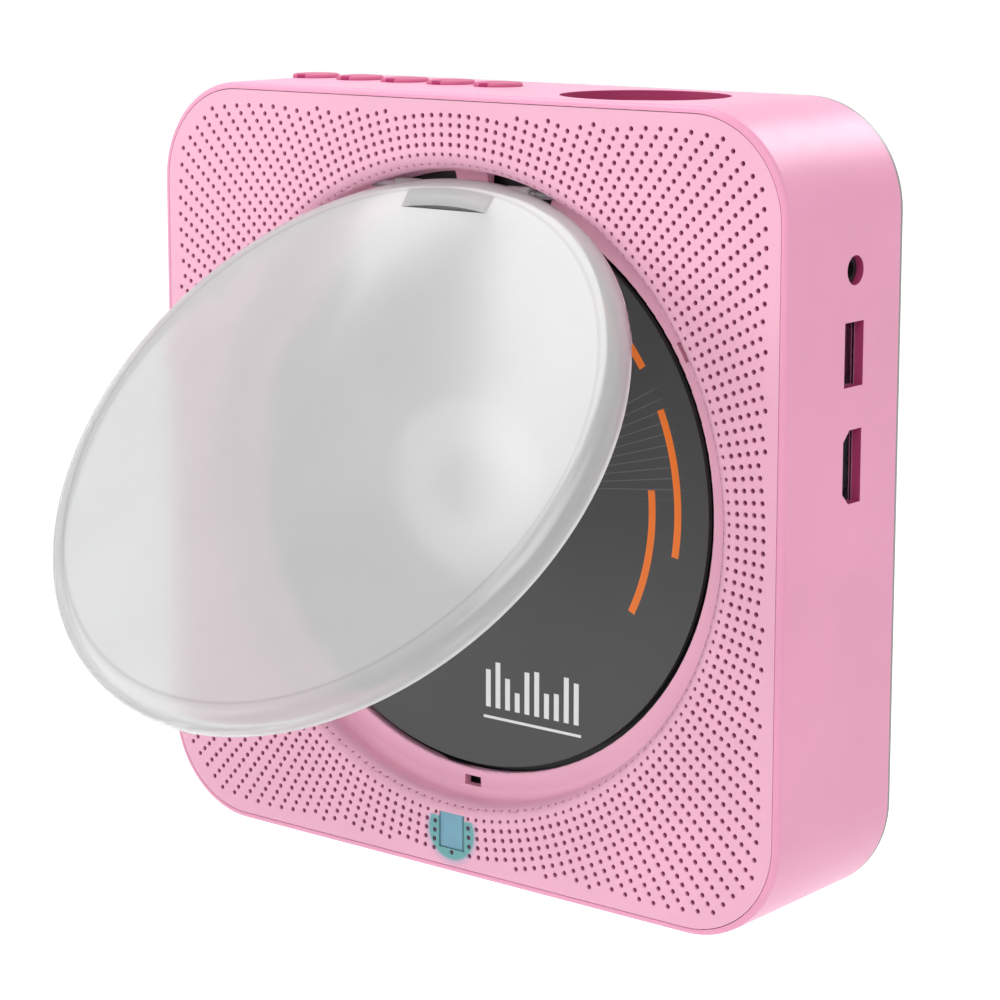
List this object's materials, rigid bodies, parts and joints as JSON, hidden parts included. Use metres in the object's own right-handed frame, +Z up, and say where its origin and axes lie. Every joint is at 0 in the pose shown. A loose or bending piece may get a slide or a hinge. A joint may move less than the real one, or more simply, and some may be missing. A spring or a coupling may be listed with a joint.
{
  "type": "wall mounted cd player",
  "caption": "Square wall mounted disc player with a perforated front, round disc well under a hinged frosted dust cover, round top buttons and side sockets.",
  "frame": {"origin": "centre of the back face of the wall bracket, where it meets the wall, level with the disc's axis", "axes": "+Y into the wall, +Z up, +X to the right when looking at the front of the player"},
  "size_m": [0.165, 0.1225, 0.1658],
  "materials": {
    "pink_plastic": "satin moulded, perforated on the front",
    "button_pink": "satin",
    "magenta_plastic": "satin",
    "pale_grey_plastic": "satin",
    "frosted_plastic": "frosted translucent",
    "disc_print": "printed label side",
    "light_plastic": "satin",
    "black_plastic": "fine grain",
    "white_acetal": "smooth",
    "teal_window": "tinted, lit from behind",
    "steel": "plain",
    "plated_steel": "bright plated",
    "zinc_plate": "zinc plated sheet",
    "rubber": "matt",
    "board_green": "solder mask",
    "cone_paper": "pressed paper",
    "lens_glass": "coated",
    "aluminium_can": "plain can"
  },
  "bodies": {
    "housing": {"main_shell": "pink_plastic", "front_panel": "pink_plastic", "rear_cover": "pale_grey_plastic", "top_well": "magenta_plastic", "spindle_motor": "steel", "disc_tray": "black_plastic", "mech_chassis": "black_plastic", "guide_rods": "steel", "chassis_dampers": "rubber", "chassis_screws": "steel", "gear_clip": "steel", "sled_motor": "steel", "button_board": "board_green", "tact_switches": "black_plastic", "indicator_window": "teal_window", "remote_receiver": "black_plastic", "indicator_board": "board_green", "left_speaker_frame": "zinc_plate", "left_speaker_cone": "cone_paper", "left_speaker_magnet": "steel", "right_speaker_frame": "zinc_plate", "right_speaker_cone": "cone_paper", "right_speaker_magnet": "steel", "main_board": "board_green", "board_screws": "steel", "board_chips": "black_plastic", "board_capacitors": "aluminium_can", "usb_shell": "plated_steel", "usb_tongue": "magenta_plastic", "hdmi_shell": "plated_steel", "hdmi_tongue": "black_plastic", "audio_jack": "black_plastic", "dc_inlet": "black_plastic", "cover_screws": "steel", "wall_bracket": "zinc_plate"},
    "cover": {"dust_cover": "frosted_plastic", "hinge_pins": "frosted_plastic"},
    "spindle": {"disc": "disc_print", "disc_hub": "light_plastic", "hub_balls": "steel", "turntable": "black_plastic", "turntable_pad": "rubber", "spindle_shaft": "steel"},
    "sled": {"pickup_sled": "black_plastic", "pickup_lens": "lens_glass", "sled_rack": "white_acetal"},
    "idler": {"idler_gear": "white_acetal"},
    "motor_pinion": {"sled_motor_pinion": "white_acetal"},
    "power_button_key": {"power_button": "button_pink"},
    "previous_button_key": {"previous_button": "button_pink"},
    "play_button_key": {"play_button": "button_pink"},
    "next_button_key": {"next_button": "button_pink"},
    "mode_button_key": {"mode_button": "button_pink"}
  },
  "joints": [
    {"name": "cover_hinge", "type": "hinge", "parent": "housing", "child": "cover", "pos_m": [0, -0.0366, 0.0626], "axis": [1, 0, 0], "range_deg": [-38, 42]},
    {"name": "disc_spin", "type": "hinge", "parent": "housing", "child": "spindle", "pos_m": [0, -0.0322, 0], "axis": [0, -1, 0], "continuous": true},
    {"name": "idler_spin", "type": "hinge", "parent": "housing", "child": "idler", "pos_m": [-0.038, -0.0171, -0.0278], "axis": [0, -1, 0], "range_deg": [-2, 350]},
    {"name": "sled_slide", "type": "slide", "parent": "housing", "child": "sled", "axis": [-1, 0, 0], "range_m": [0, 0.034]},
    {"name": "sled_motor_spin", "type": "hinge", "parent": "housing", "child": "motor_pinion", "pos_m": [-0.0276, -0.0171, -0.04581], "axis": [0, -1, 0], "range_deg": [-1165, 5]},
    {"name": "power_press", "type": "slide", "parent": "housing", "child": "power_button_key", "axis": [0, 0, -1], "range_m": [0, 0.0006], "stiffness_N_per_m": 1500, "springref_m": -0.0002},
    {"name": "previous_press", "type": "slide", "parent": "housing", "child": "previous_button_key", "axis": [0, 0, -1], "range_m": [0, 0.0006], "stiffness_N_per_m": 1500, "springref_m": -0.0002},
    {"name": "play_press", "type": "slide", "parent": "housing", "child": "play_button_key", "axis": [0, 0, -1], "range_m": [0, 0.0006], "stiffness_N_per_m": 1500, "springref_m": -0.0002},
    {"name": "next_press", "type": "slide", "parent": "housing", "child": "next_button_key", "axis": [0, 0, -1], "range_m": [0, 0.0006], "stiffness_N_per_m": 1500, "springref_m": -0.0002},
    {"name": "mode_press", "type": "slide", "parent": "housing", "child": "mode_button_key", "axis": [0, 0, -1], "range_m": [0, 0.0006], "stiffness_N_per_m": 1500, "springref_m": -0.0002}
  ],
  "couplings": [
    {"joint": "idler_spin", "follows": "sled_slide", "rad_per_m": 178.57},
    {"joint": "sled_motor_spin", "follows": "sled_slide", "rad_per_m": -595.24}
  ]
}
